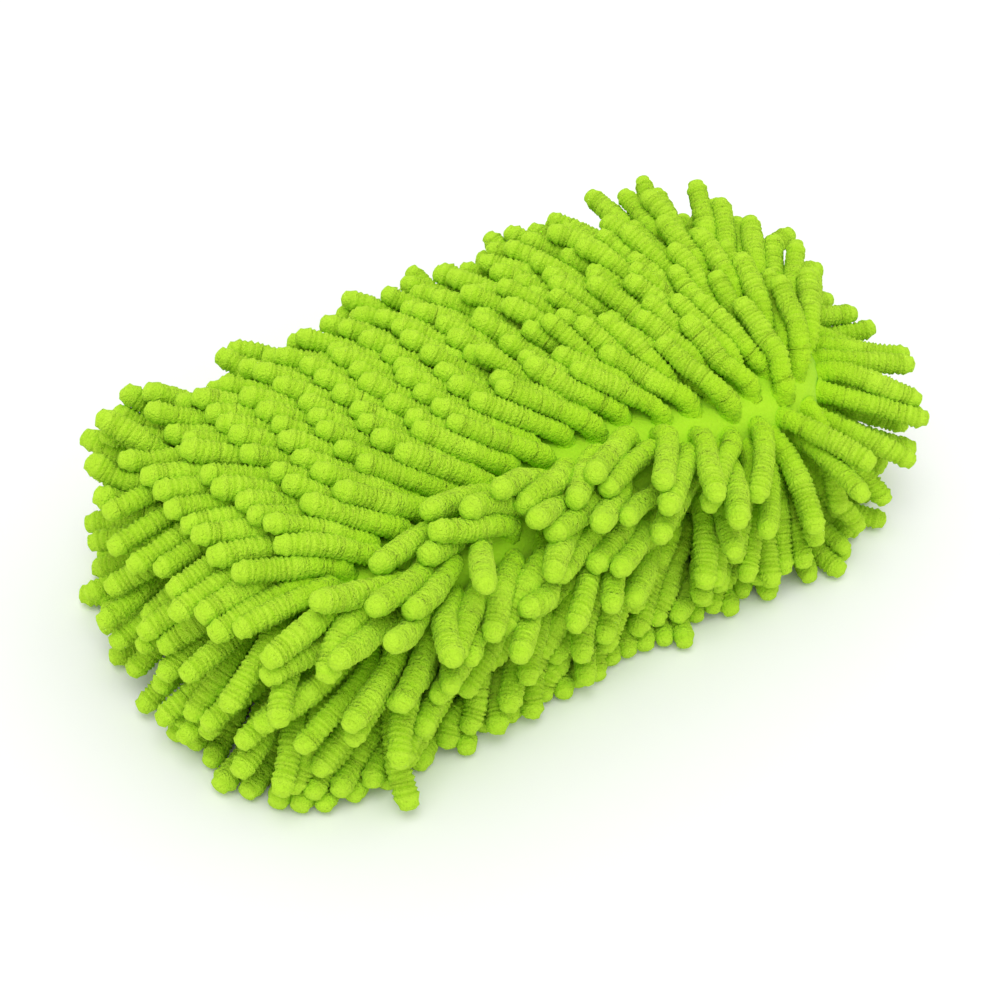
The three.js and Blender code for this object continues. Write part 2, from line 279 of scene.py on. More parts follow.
def side_roots(turns, index, count):
    """Roots of a row along one side, from mid-corner to mid-corner."""
    pitch = (RIM_CENTRE - COVER_BASE + HALF_RIM_ARC) / count
    face, half = (BLOCK_HALF[1], BLOCK_HALF[0]) if turns % 2 == 0 else BLOCK_HALF
    straight = half - CORNER_RADIUS
    length = 2 * straight + CORNER_RADIUS * math.pi / 2
    roots = []
    closer = FRONT_CLOSER if turns == FRONT else 1.0
    for number, s in enumerate(spread_along(length, index % 2, closer)):
        station = (index + 0.5) * pitch
        if turns == FRONT:
            station = (index + 0.5) / (count - 0.5) * (parting(-s) - HALF_PARTING)
            station -= ZIGZAG * (number % 2)
        inset, height = profile(station)
        past = max(abs(s) - straight, 0) / CORNER_RADIUS
        x = math.copysign(min(abs(s), straight) + (CORNER_RADIUS - inset) * math.sin(past), s)
        y = face - CORNER_RADIUS + (CORNER_RADIUS - inset) * math.cos(past)
        for _ in range(turns):
            x, y = -y, x
        roots.append((BLOCK_CENTRE[0] + x, BLOCK_CENTRE[1] + y, height))
    return np.array(roots)


def rows_of_roots():
    """The roots of each CAD row's fingers, by the row's name."""
    names = sorted(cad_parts)
    top = [n for n in names if n.startswith("top_row_")]
    found = {name: top_roots(i, len(top)) for i, name in enumerate(top)}
    for turns, side in enumerate(("rear", "near", "front", "far")):
        rows = [n for n in names if n.startswith(side + "_row_")]
        for i, name in enumerate(rows):
            found[name] = side_roots(turns, i, len(rows))
    return found


# ---- how the fingers lie ----
def unit(vectors):
    return vectors / np.maximum(np.linalg.norm(vectors, axis=-1, keepdims=True), 1e-12)


def top_comb(x, y):
    """Over the top: back from the front edge and to the near end, but fanned out at the far end."""
    # The slant is in degrees from the block's long side, and x and y are metres from its middle.
    slant = 48 + 300 * x + np.where(x > 0, -5500 * x * y, 0) + 58 * smooth(x, 0.055, 0.092)
    slant = np.radians(slant - 25 * smooth(-x, 0.070, 0.092))
    lift = 0.15 + 0.06 * smooth(x, 0.070, 0.092)
    lift = lift + 0.10 * smooth(-x, 0.0, 0.050) - 0.48 * smooth(-x, 0.070, 0.092)
    return np.stack([-np.cos(slant), np.sin(slant), lift], axis=1)


# How the side pile lies: a place on the block in mm, and where its upper and lower fingers point.
SIDE_LAY = (
    ((-93, 0), (-0.95, 0.02, -0.30), (-0.80, -0.32, -0.60)),
    ((-86, -32), (-0.95, -0.25, -0.08), (-0.76, -0.40, -0.62)),
    ((-60, -39), (-0.87, -0.41, 0.15), (-0.76, -0.40, -0.52)),
    ((20, -39), (-0.85, -0.45, 0.15), (-0.72, -0.42, -0.55)),
    ((52, -39), (-0.55, -0.72, 0.00), (-0.55, -0.50, -0.65)),
    ((74, -38), (0.10, -0.80, -0.25), (0.00, -0.60, -0.75)),
    ((88, -32), (0.80, -0.55, -0.05), (0.50, -0.55, -0.65)),
    ((93, -12), (0.75, -0.45, -0.12), (0.85, -0.30, -0.45)),
    ((93, 10), (0.76, 0.12, 0.20), (0.85, 0.10, -0.40)),
    ((86, 32), (0.45, 0.62, 0.30), (0.70, 0.50, -0.40)),
    ((60, 39), (-0.35, 0.80, 0.00), (-0.20, 0.80, -0.50)),
    ((0, 39), (-0.50, 0.75, 0.10), (-0.40, 0.65, -0.60)),
    ((-86, 32), (-0.58, 0.64, 0.46), (-0.70, 0.55, -0.50)),
)


def side_comb(x, y, height):
    """Round the sides: out and swept to the near end, but standing out like a star at the far end."""
    share = smooth(height, 0.05, 0.95)[:, None]
    total = 0
    for (place_x, place_y), upper, lower in SIDE_LAY:
        away = (x - place_x * MM) ** 2 + (y - place_y * MM) ** 2
        weight = (1 / (away + (8 * MM) ** 2) ** 2)[:, None]
        total = total + weight * (share * np.array(upper) + (1 - share) * np.array(lower))
    return unit(total)


def combed(roots, on_top):
    """The direction that each finger's free end is combed to, and how far it curls on the way."""
    x, y = roots[:, 0] - BLOCK_CENTRE[0], roots[:, 1] - BLOCK_CENTRE[1]
    height = (roots[:, 2] - COVER_BASE) / (COVER_TOP - COVER_BASE)
    chosen = unit(np.where(on_top[:, None], top_comb(x, y), side_comb(x, y, height)))
    loose = np.where(on_top, 0.07, 0.14 + 0.12 * height)
    wander = random.normal(0, 1, chosen.shape) * loose[:, None]
    curl = random.normal(0, 1, chosen.shape) * np.where(on_top, 0.10, 0.32)[:, None]
    return unit(chosen + wander), curl


def close_pairs(points, owners, within):
    """Index pairs of points on different fingers that are nearer than within."""
    found_a, found_b = [], []
    order = np.argsort(points[:, 0])
    xs = points[order, 0]
    for i in range(0, len(order), 256):
        block = order[i:i + 256]
        end = np.searchsorted(xs, xs[min(i + 255, len(xs) - 1)] + within)
        others = order[i:end]
        gap = points[block][:, None, :] - points[others][None, :, :]
        near = np.einsum("ijk,ijk->ij", gap, gap) < within ** 2
        a, b = np.nonzero(near)
        keep = (a < b) & (owners[block[a]] != owners[others[b]])
        found_a.append(block[a[keep]])
        found_b.append(others[b[keep]])
    return np.concatenate(found_a), np.concatenate(found_b)


def push_apart(flat, pairs, reach):
    """Moves both points of each pair that is nearer than reach away from each other."""
    a, b = pairs
    gap = flat[a] - flat[b]
    size = np.linalg.norm(gap, axis=1)
    push = np.maximum(reach - size, 0) / np.maximum(size, 1e-9) * 0.4
    move = gap * push[:, None]
    for axis in range(3):
        away = np.bincount(a, move[:, axis], len(flat))
        flat[:, axis] += away - np.bincount(b, move[:, axis], len(flat))


def keep_clear(points):
    """Moves all but the roots off the cover and up from the floor."""
    count = len(points)
    free = points[:, 1:].reshape(-1, 3)
    distance, outward = cloth(free)
    rising = np.minimum(np.arange(1, FINGER_POINTS) * 2.4 * MM, FINGER_RADIUS)
    free += outward * np.maximum(np.tile(rising, count) - distance, 0)[:, None]
    free[:, 2] = np.maximum(free[:, 2], FINGER_RADIUS + FLOOR_CLEARANCE)
    points[:, 1:] = free.reshape(count, -1, 3)


def settle(roots, normals, comb, curl, lengths):
    """Combs the fingers over from upright while they keep off each other, the cover and the floor."""
    last = FINGER_POINTS - 1
    segment = (lengths / last)[:, None]
    bend = smooth(np.arange(1, FINGER_POINTS), 0, BEND_ZONE * last)
    points = np.zeros((len(roots), FINGER_POINTS, 3))
    points[:, 0] = roots - normals * ROOT_DEPTH
    for j in range(last):
        points[:, j + 1] = points[:, j] + normals * segment
    owners = np.repeat(np.arange(len(roots)), FINGER_POINTS)
    reach = 2 * FINGER_RADIUS * TOUCH
    for step in range(SETTLE_STEPS):
        ease = min(step / (COMBING * SETTLE_STEPS), 1.0)
        aim = unit((1 - ease) * normals + ease * comb)
        pull = 0.30 if ease < 1 else 0.18
        for j in range(last):
            guide = unit((1 - bend[j]) * normals + bend[j] * aim + curl * (j / last - 0.5))
            wanted = points[:, j] + guide * segment
            points[:, j + 1] += pull * (wanted - points[:, j + 1])
        points[:, 2:, 2] -= SAG
        middle = (points[:, :-2] + points[:, 2:]) / 2
        points[:, 1:-1] += STIFFNESS * (middle - points[:, 1:-1])
        if step % 5 == 0:
            pairs = close_pairs(points.reshape(-1, 3), owners, reach + 4 * MM)
        for _ in range(2):
            push_apart(points.reshape(-1, 3), pairs, reach)
            keep_clear(points)
            points[:, 0] = roots - normals * ROOT_DEPTH
            for j in range(last):
                points[:, j + 1] = points[:, j] + unit(points[:, j + 1] - points[:, j]) * segment
    return points


# ---- the shape of a finger ----
def smooth_line(points):
    """A Catmull-Rom line through the points, with the distance along it."""
    padded = np.vstack([2 * points[0] - points[1], points, 2 * points[-1] - points[-2]])
    spans = len(points) - 1
    t = np.linspace(0, spans, 6 * spans + 1)
    k = np.minimum(t.astype(int), spans - 1)
    u = (t - k)[:, None]
    p0, p1, p2, p3 = (padded[k + i] for i in range(4))
    line = 0.5 * (2 * p1 + (p2 - p0) * u + (2 * p0 - 5 * p1 + 4 * p2 - p3) * u ** 2
                  + (3 * p1 - p0 - 3 * p2 + p3) * u ** 3)
    along = np.concatenate([[0], np.cumsum(np.linalg.norm(np.diff(line, axis=0), axis=1))])
    return along, line


def ring_plan():
    """Height and width of each ring of a straight finger: a flared root, ribs, and a blunt tip."""
    body = FINGER_LENGTH - TIP_LENGTH
    ribs = int(body / RIB_PITCH)
    tops = (np.arange(ribs) + 0.5 + random.uniform(-0.22, 0.22, ribs)) * body / ribs
    gaps = (tops[1:] + tops[:-1]) / 2 + random.uniform(-0.1, 0.1, ribs - 1) * RIB_PITCH
    swell = random.uniform(0.10, 0.32, ribs) * MM
    dip = random.uniform(-0.50, -0.22, ribs - 1) * MM
    heights = np.concatenate([tops, gaps])
    order = np.argsort(heights)
    heights, bulge = heights[order], np.concatenate([swell, dip])[order]
    waist = np.interp(heights, np.linspace(0, FINGER_LENGTH, 7), random.normal(0, 0.16 * MM, 7))
    flare = ROOT_FLARE * np.clip(1 - heights / (3.5 * MM), 0, 1) ** 2
    width = FINGER_RADIUS + bulge + waist + flare
    tip_heights = body + TIP_LENGTH * np.sin(TIP_RINGS)
    tip_width = FINGER_RADIUS * np.cos(TIP_RINGS) ** 0.8 * random.uniform(0.93, 0.99) + TIP_RIBS
    return np.concatenate([[[0, FINGER_RADIUS + ROOT_FLARE]],
                           np.stack([heights, width], axis=1),
                           np.stack([tip_heights, tip_width], axis=1)])


def straight_finger(number):
    """One finger, root at the origin and tip up: a disc drawn up ring by ring, each a bit askew."""
    plan = ring_plan()
    bpy.ops.object.select_all(action="DESELECT")
    bpy.ops.mesh.primitive_circle_add(vertices=FINGER_SIDES, radius=plan[0, 1], fill_type="NGON")
    finger = bpy.context.active_object
    finger.name = "straight_finger_%d" % number
    bpy.ops.object.mode_set(mode="EDIT")
    tilt = np.zeros(2)
    for (below, narrow), (height, wide) in zip(plan, plan[1:]):
        centre = (0, 0, height)
        bpy.ops.mesh.extrude_region_move(TRANSFORM_OT_translate={"value": (0, 0, height - below)})
        bpy.ops.transform.resize(value=(wide / narrow, wide / narrow, 1), center_override=centre)
        calm = min(height, FINGER_LENGTH - height) / (6 * MM)
        wanted = (0.8 * tilt + random.normal(0, RIB_SLANT, 2)) * min(calm, 1)
        for axis, angle in zip("XY", wanted - tilt):
            bpy.ops.transform.rotate(value=angle, orient_axis=axis, center_override=centre)
        tilt = wanted
    bpy.ops.mesh.poke()
    bpy.ops.mesh.select_all(action="SELECT")
    bpy.ops.mesh.normals_make_consistent(inside=False)
    bpy.ops.object.mode_set(mode="OBJECT")
    roughen(finger, "nap %d" % number)
    bpy.ops.object.shade_smooth()
    return finger


def roughen(piece, name):
    """Moves the surface in and out by a cloudy texture."""
    clouds = bpy.data.textures.new(name, "CLOUDS")
    clouds.noise_scale = NAP_GRAIN
    clouds.noise_depth = 1
    displace = piece.modifiers.new(name, "DISPLACE")
    displace.texture = clouds
    displace.strength = NAP_DEPTH
    displace.mid_level = 0.5
    apply_modifier(piece, name)
    bpy.data.textures.remove(clouds)


def add_values(mesh, name, kind, field, values):
    """A value on each vertex, for the material to read."""
    attribute = mesh.attributes.new(name, kind, "POINT")
    attribute.data.foreach_set(field, values.astype(np.float32).ravel())


def sideways(forward):
    """Directions square to the line, carried along it without twisting."""
    side = np.cross(forward[0], [0.31, 0.52, 0.79])
    across = []
    for direction in forward:
        side = side - direction * side.dot(direction)
        side = side / np.linalg.norm(side)
        across.append(side)
    return np.array(across)


def between(values, along, rise):
    """The values at points of the line, read off at other distances along it."""
    return np.stack([np.interp(rise, along, values[:, k]) for k in range(3)], axis=1)


def bent(places, points):
    """A straight finger's vertices, moved along its line and turned about it by chance."""
    along, line = smooth_line(points)
    forward = unit(np.gradient(line, axis=0))
    across = sideways(forward)
    upright = np.cross(forward, across)
    turn = random.uniform(0, 2 * math.pi)
    thick = random.uniform(0.94, 1.06)
    out = places[:, 0] * math.cos(turn) - places[:, 1] * math.sin(turn)
    over = places[:, 0] * math.sin(turn) + places[:, 1] * math.cos(turn)
    rise = places[:, 2] * along[-1] / FINGER_LENGTH
    beyond = np.maximum(rise - along[-1], 0) + np.minimum(rise, 0)
    middle = between(line, along, rise) + between(forward, along, rise) * beyond[:, None]
    aside = between(across, along, rise) * out[:, None]
    aside = aside + between(upright, along, rise) * over[:, None]
    return middle + thick * aside


def laid_finger(straight, points, shift):
    """A copy of a straight finger, bent along its line, that keeps its straight shape as a value."""
    mesh = straight.data.copy()
    places = vertex_places(mesh)
    mesh.vertices.foreach_set("co", bent(places, points).astype(np.float32).ravel())
    width = np.hypot(places[:, 0], places[:, 1])
    # How far the surface stands out, raised near the tip: the mask for painted light, pale on the
    # crests and tips and darker between the ribs.
    painted_rib_and_tip_light = np.clip(0.5 + (width - FINGER_RADIUS) / (0.6 * MM), 0, 1)
    tip = smooth(places[:, 2], FINGER_LENGTH - 4 * MM, FINGER_LENGTH - 1 * MM)
    add_values(mesh, "unbent", "FLOAT_VECTOR", "vector", places + shift)
    add_values(mesh, "painted_rib_and_tip_light", "FLOAT", "value", np.maximum(painted_rib_and_tip_light, 0.65 * tip))
    add_values(mesh, "rise", "FLOAT", "value", places[:, 2] / FINGER_LENGTH)
    finger = bpy.data.objects.new("finger", mesh)
    bpy.context.collection.objects.link(finger)
    return finger


def add_fingers(material):
    """All the fingers, settled together and joined into one piece for each CAD row."""
    rows = rows_of_roots()
    names = list(rows)
    roots = np.concatenate([rows[n] for n in names])
    on_top = np.concatenate([np.full(len(rows[n]), n.startswith("top")) for n in names])
    roots = roots + random.normal(0, ROOT_SCATTER, roots.shape) * [1, 1, 0]
    _, normals = cloth(roots)
    comb, curl = combed(roots, on_top)
    lengths = FINGER_LENGTH * random.uniform(0.92, 1.06, len(roots))
    points = settle(roots, normals, comb, curl, lengths)
    straight = [straight_finger(number) for number in range(STRAIGHT_FINGERS)]
    start = 0
    for name in names:
        count = len(rows[name])
        fingers = []
        for i in range(start, start + count):
            template = straight[random.integers(STRAIGHT_FINGERS)]
            fingers.append(laid_finger(template, points[i], (0, 0, 0.05 * i)))
        piece = joined(fingers, "chenille_" + name)
        piece.data.materials.append(material)
        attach(piece, "block")
        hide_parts(name)
        start += count
    for finger in straight:
        bpy.data.objects.remove(finger)


# ---- the modelling steps that several pieces share ----
def select_only(piece):
    bpy.ops.object.select_all(action="DESELECT")
    piece.select_set(True)
    bpy.context.view_layer.objects.active = piece


def begin_edit(piece, kind):
    """Opens a piece for editing with nothing on it selected."""
    select_only(piece)
    bpy.ops.object.mode_set(mode="EDIT")
    bpy.ops.mesh.select_mode(type=kind)
    bpy.ops.mesh.select_all(action="DESELECT")


def end_edit():
    bpy.ops.object.mode_set(mode="OBJECT")


def pick_edges(piece, wanted):
    """Selects the edges that wanted(start, end) says yes to, in edit mode."""
    mesh = bmesh.from_edit_mesh(piece.data)
    for edge in mesh.edges:
        if wanted(edge.verts[0].co, edge.verts[1].co):
            edge.select = True
    mesh.select_flush_mode()
    bmesh.update_edit_mesh(piece.data)


def pick_faces(piece, wanted):
    """Selects the faces whose middle wanted(centre, normal) says yes to, in edit mode."""
    mesh = bmesh.from_edit_mesh(piece.data)
    for face in mesh.faces:
        face.select = wanted(face.calc_center_median(), face.normal)
    bmesh.update_edit_mesh(piece.data)


def finished(piece, name, nodes, material, body="block"):
    """Names a piece and says what it rides on, what it stands for and what it is made of."""
    piece.name = name
    piece.data.name = name
    piece.data.materials.clear()
    piece.data.materials.append(material)
    if body:
        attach(piece, body)
    if nodes:
        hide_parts(*nodes)


def apply_modifier(piece, name):
    select_only(piece)
    bpy.ops.object.modifier_apply(modifier=name)


def give_thickness(piece, thickness, offset):
    wall = piece.modifiers.new("wall", "SOLIDIFY")
    wall.thickness = thickness
    wall.offset = offset
    apply_modifier(piece, "wall")


def smooth_faces(piece):
    """Shades smooth over all but the sharp edges."""
    select_only(piece)
    bpy.ops.object.shade_smooth_by_angle(angle=math.radians(40))


def face_outwards(piece):
    begin_edit(piece, "FACE")
    bpy.ops.mesh.select_all(action="SELECT")
    bpy.ops.mesh.normals_make_consistent(inside=False)
    end_edit()


def vertex_places(mesh):
    places = np.empty(3 * len(mesh.vertices), np.float32)
    mesh.vertices.foreach_get("co", places)
    return places.reshape(-1, 3).astype(float)


def joined(pieces, name):
    bpy.ops.object.select_all(action="DESELECT")
    for piece in pieces:
        piece.select_set(True)
    bpy.context.view_layer.objects.active = pieces[0]
    bpy.ops.object.join()
    pieces[0].name = name
    pieces[0].data.name = name
    return pieces[0]


def upright_block(low, high, corner):
    """A block with its upright edges rounded, from one corner of its box to the other."""
    size = high - low
    bpy.ops.object.select_all(action="DESELECT")
    bpy.ops.mesh.primitive_cube_add(size=1, location=(low + high) / 2, scale=size)
    bpy.ops.object.transform_apply(location=True, rotation=True, scale=True)
    piece = bpy.context.active_object
    begin_edit(piece, "EDGE")
    pick_edges(piece, lambda a, b: abs(a.z - b.z) > size.z / 2)
    bpy.ops.mesh.bevel(offset=corner, offset_type="OFFSET", segments=12)
    end_edit()
    return piece


def round_rim(piece, height, radius):
    """Rounds the edge all the way round, at that height."""
    begin_edit(piece, "EDGE")
    pick_edges(piece, lambda a, b: min(a.z, b.z) > height - 0.1 * MM)
    bpy.ops.mesh.bevel(offset=radius, offset_type="OFFSET", segments=8)
    end_edit()


def stitch(length, radius):
    """One stitch of thread along X: a short rod with its ends pulled in."""
    bpy.ops.mesh.primitive_uv_sphere_add(segments=8, ring_count=6, radius=1)
    piece = bpy.context.active_object
    for vertex in piece.data.vertices:
        x, y, z = vertex.co
        vertex.co = Vector((z * length / 2, y * radius, x * radius))
    face_outwards(piece)
    return piece


def placed(source, place, turn):
    """A copy of a small piece, turned about Z and moved, with its own mesh."""
    mesh = source.data.copy()
    c, s = math.cos(turn), math.sin(turn)
    x, y, z = vertex_places(mesh).T
    turned = np.stack([c * x - s * y, s * x + c * y, z], axis=1) + place
    mesh.vertices.foreach_set("co", turned.astype(np.float32).ravel())
    copy = bpy.data.objects.new(source.name, mesh)
    bpy.context.collection.objects.link(copy)
    return copy


# ---- the block: foam, cover, back panel and binding ----
def add_foam(material):
    low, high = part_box("foam_core")
    piece = upright_block(low, high, CORNER_RADIUS - FOAM_INSET)
    round_rim(piece, high.z, RIM_RADIUS - FOAM_INSET)
    smooth_faces(piece)
    finished(piece, "foam_block", ["foam_core"], material)
    return piece


def add_cover(material):
    """The knitted cover: one cloth with its corners sewn in, open at the back."""
    piece = upright_block(cover_low, cover_high, CORNER_RADIUS)
    round_rim(piece, COVER_TOP, RIM_RADIUS)
    begin_edit(piece, "FACE")
    pick_faces(piece, lambda centre, normal: normal.z < -0.9)
    bpy.ops.mesh.delete(type="FACE")
    end_edit()
    give_thickness(piece, COVER_WALL, -1)
    smooth_faces(piece)
    finished(piece, "knitted_cover", ["cover_cloth"], material)


def past_corner(point, centre, half, corner):
    """How far a point is past the straight part of a rounded outline, along X and along Y."""
    return (max(abs(point.x - centre[0]) - half[0] + corner, 0),
            max(abs(point.y - centre[1]) - half[1] + corner, 0))


def net_over(low, high, corner, height):
    """A net of small cells, cut to the panel's outline."""
    size, centre = high - low, (low + high) / 2
    columns, rows = round(size.x / NET_CELL), round(size.y / NET_CELL)
    bpy.ops.mesh.primitive_grid_add(x_subdivisions=columns, y_subdivisions=rows, size=1)
    net = bpy.context.active_object
    for vertex in net.data.vertices:
        x, y = vertex.co.x, vertex.co.y
        shift = 0.25 * NET_CELL * (-1) ** round((y + 0.5) * rows)
        vertex.co = Vector((centre.x + x * size.x + shift, centre.y + y * size.y, height))
    begin_edit(net, "FACE")
    edge, half = corner - 1.5 * MM, size / 2
    pick_faces(net, lambda point, _: math.hypot(*past_corner(point, centre, half, corner)) > edge)
    bpy.ops.mesh.delete(type="FACE")
    end_edit()
    wires = net.modifiers.new("wires", "WIREFRAME")
    wires.thickness = NET_WIRE
    wires.use_even_offset = False
    apply_modifier(net, "wires")
    return net


def add_panel(material):
    """The flat back panel: a backing cloth under a net."""
    low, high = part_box("back_panel")
    corner = CORNER_RADIUS - PANEL_INSET
    backing = upright_block(Vector((low.x, low.y, low.z + 0.6 * MM)), high, corner)
    net = net_over(low, high, corner, low.z + 0.4 * MM)
    smooth_faces(backing)
    finished(backing, "mesh_panel", ["back_panel"], material)
    finished(net, "mesh_net", [], material)


def add_binding(material):
    """Tape folded round the seam: a block opened to a ring, its outer edges rounded."""
    low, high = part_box("seam_binding")
    piece = upright_block(low, high, CORNER_RADIUS)
    begin_edit(piece, "FACE")
    pick_faces(piece, lambda centre, normal: abs(normal.z) > 0.9)
    bpy.ops.mesh.inset(thickness=TAPE_EDGE, depth=0)
    bpy.ops.mesh.bridge_edge_loops()
    end_edit()
    begin_edit(piece, "EDGE")
    pick_edges(piece, lambda a, b: abs(a.z - b.z) < 0.01 * MM and on_rim(a) and on_rim(b))
    bpy.ops.mesh.bevel(offset=1.2 * MM, offset_type="OFFSET", segments=4)
    end_edit()
    smooth_faces(piece)
    finished(piece, "folded_binding", ["seam_binding"], material)


def on_rim(point):
    """Whether a point lies on the tape's outer outline."""
    qx, qy = past_corner(point, BLOCK_CENTRE, BLOCK_HALF, CORNER_RADIUS)
    return abs(math.hypot(qx, qy) - CORNER_RADIUS) <= 0.3 * MM


def add_binding_stitches(material):
    """The stitches that hold the tape, all the way round."""
    low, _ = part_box("seam_binding")
    path = BLOCK_HALF - CORNER_RADIUS
    radius = CORNER_RADIUS - TAPE_EDGE / 2
    around = 4 * (path[0] + path[1]) + 2 * math.pi * radius
    count = round(around / TAPE_STITCH_PITCH)
    first = stitch(*TAPE_STITCH)
    stitches = []
    for number in range(count):
        x, y, turn = round_the_block(number * around / count, path, radius)
        place = (BLOCK_CENTRE[0] + x, BLOCK_CENTRE[1] + y, low.z + 0.05 * MM)
        stitches.append(placed(first, place, turn))
    bpy.data.objects.remove(first)
    line = joined(stitches, "binding_stitches")
    finished(line, "binding_stitches", [], material)


def round_the_block(distance, path, radius):
    """A place on the way round the block, and which way it runs there."""
    x0, y0 = path
    quarter = math.pi / 2 * radius
    legs = ((2 * x0, (-x0, -y0 - radius), 0), (2 * y0, (x0 + radius, -y0), 90),
            (2 * x0, (x0, y0 + radius), 180), (2 * y0, (-x0 - radius, y0), 270))
    corners = ((x0, -y0), (x0, y0), (-x0, y0), (-x0, -y0))
    for (length, start, heading), centre in zip(legs, corners):
        turn = math.radians(heading)
        if distance <= length:
            return start[0] + distance * math.cos(turn), start[1] + distance * math.sin(turn), turn
        distance -= length
        if distance <= quarter:
            turn += distance / radius
            return centre[0] + radius * math.sin(turn), centre[1] - radius * math.cos(turn), turn
        distance -= quarter
    return legs[0][1][0], legs[0][1][1], 0.0


# ---- the hand strap ----
def strap_height(y):
    """Middle height of the strap: on the panel at its sewn ends, and level where the hand goes."""
    band_low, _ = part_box("hand_strap")
    end_low, end_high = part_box("strap_end_front")
    half_thick = (end_high.z - end_low.z) / 2
    level = band_low.z + half_thick
    sewn = end_low.z + half_thick
    return level + (sewn - level) * float(smooth(abs(y), 15 * MM, 24 * MM))


def strap_rib(length_from, length_to):
    """One lengthwise rib of the elastic, from one place along Y to another, as the strap falls."""
    bpy.ops.mesh.primitive_cylinder_add(vertices=8, radius=1, depth=1, end_fill_type="TRIFAN")
    piece = bpy.context.active_object
    begin_edit(piece, "EDGE")
    pick_edges(piece, lambda a, b: abs(a.z - b.z) > 0.5)
    bpy.ops.mesh.subdivide(number_cuts=RIB_CUTS)
    end_edit()
    for vertex in piece.data.vertices:
        x, y, z = vertex.co
        along = length_from + (z + 0.5) * (length_to - length_from)
        slope = (strap_height(along + 0.2 * MM) - strap_height(along - 0.2 * MM)) / (0.4 * MM)
        norm = math.hypot(1, slope)
        weave = 1 + 0.06 * math.sin(2 * math.pi * along / WEFT_PITCH)
        up = y * RIB_HALF_HEIGHT * weave / norm
        vertex.co = Vector((x * RIB_HALF_WIDTH, along - up * slope, strap_height(along) + up))
    face_outwards(piece)
    return piece


def add_strap(material, side, name, end_node):
    """One half of the hand strap, from its sewn end to the middle."""
    low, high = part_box("hand_strap")
    end_low, end_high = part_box(end_node)
    sewn = end_low.y if side < 0 else end_high.y
    rib = strap_rib(min(sewn, 0), max(sewn, 0))
    count = round((high.x - low.x) / RIB_OF_STRAP)
    pitch = (high.x - low.x) / count
    ribs = [placed(rib, (low.x + (k + 0.5) * pitch, 0, 0), 0) for k in range(count)]
    bpy.data.objects.remove(rib)
    piece = joined(ribs, name)
    smooth_faces(piece)
    finished(piece, name, ["hand_strap", end_node], material, body=None)
    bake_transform(piece)


def add_bar_tack(material, node, name):
    """A close zigzag of thread across the strap's end."""
    low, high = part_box(node)
    count = round((high.x - low.x) / TACK_PITCH)
    pitch = (high.x - low.x) / count
    width = high.y - low.y
    slant = math.atan2(width, pitch)
    first = stitch(math.hypot(width, pitch), TACK_RADIUS)
    stitches = []
    for k in range(count):
        place = (low.x + (k + 0.5) * pitch, (low.y + high.y) / 2, (low.z + high.z) / 2)
        stitches.append(placed(first, place, slant * (-1) ** k))
    bpy.data.objects.remove(first)
    piece = joined(stitches, name)
    smooth_faces(piece)
    finished(piece, name, [node], material)


def add_label(material):
    """A blank care label of satin tape, sewn in at the seam and lying under the panel."""
    low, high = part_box("care_label")
    bpy.ops.mesh.primitive_grid_add(x_subdivisions=24, y_subdivisions=16, size=1)
    piece = bpy.context.active_object
    centre, size = (low + high) / 2, high - low
    for vertex in piece.data.vertices:
        x, y = vertex.co.x, vertex.co.y
        sag = 0.5 * MM * (0.5 - y) * (1 + math.sin(7 * x + 2)) / 2
        vertex.co = Vector((centre.x + x * size.x, centre.y + y * size.y, centre.z - sag))
    give_thickness(piece, 0.3 * MM, 0)
    smooth_faces(piece)
    finished(piece, "satin_label", ["care_label"], material)


# ---- materials ----
WAVE_BAND = 0.314  # a wave texture's bands are this far apart at scale 1


def new_material(name, colour, roughness):
    material = bpy.data.materials.new(name)
    material.use_nodes = True
    shader = material.node_tree.nodes["Principled BSDF"]
    shader.inputs["Base Color"].default_value = (*colour, 1)
    shader.inputs["Roughness"].default_value = roughness
    return material, material.node_tree, shader


def noise_at(nodes, links, source, scale, detail):
    noise = nodes.new("ShaderNodeTexNoise")
    noise.inputs["Scale"].default_value = scale
    noise.inputs["Detail"].default_value = detail
    links.new(source, noise.inputs["Vector"])
    return noise.outputs["Fac"]


def colour_mix(nodes):
    mix = nodes.new("ShaderNodeMix")
    mix.data_type = "RGBA"
    return mix


def colour_between(nodes, links, factor, a, b):
    mix = colour_mix(nodes)
    mix.inputs["A"].default_value = (*a, 1)
    mix.inputs["B"].default_value = (*b, 1)
    links.new(factor, mix.inputs["Factor"])
    return mix.outputs["Result"]


def bump_of(nodes, links, height, strength, distance):
    bump = nodes.new("ShaderNodeBump")
    bump.inputs["Strength"].default_value = strength
    bump.inputs["Distance"].default_value = distance
    links.new(height, bump.inputs["Height"])
    return bump


def raised(nodes, links, shader, height, strength, distance):
    bump = bump_of(nodes, links, height, strength, distance)
    links.new(bump.outputs["Normal"], shader.inputs["Normal"])


def waves_along(nodes, links, direction, pitch, source):
    wave = nodes.new("ShaderNodeTexWave")
    wave.bands_direction = direction
    wave.inputs["Scale"].default_value = WAVE_BAND / pitch
    wave.inputs["Distortion"].default_value = 0.4
    links.new(source, wave.inputs["Vector"])
    return wave.outputs["Fac"]


def value_of(nodes, name, output):
    """A value that the mesh carries."""
    attribute = nodes.new("ShaderNodeAttribute")
    attribute.attribute_name = name
    return attribute.outputs[output]


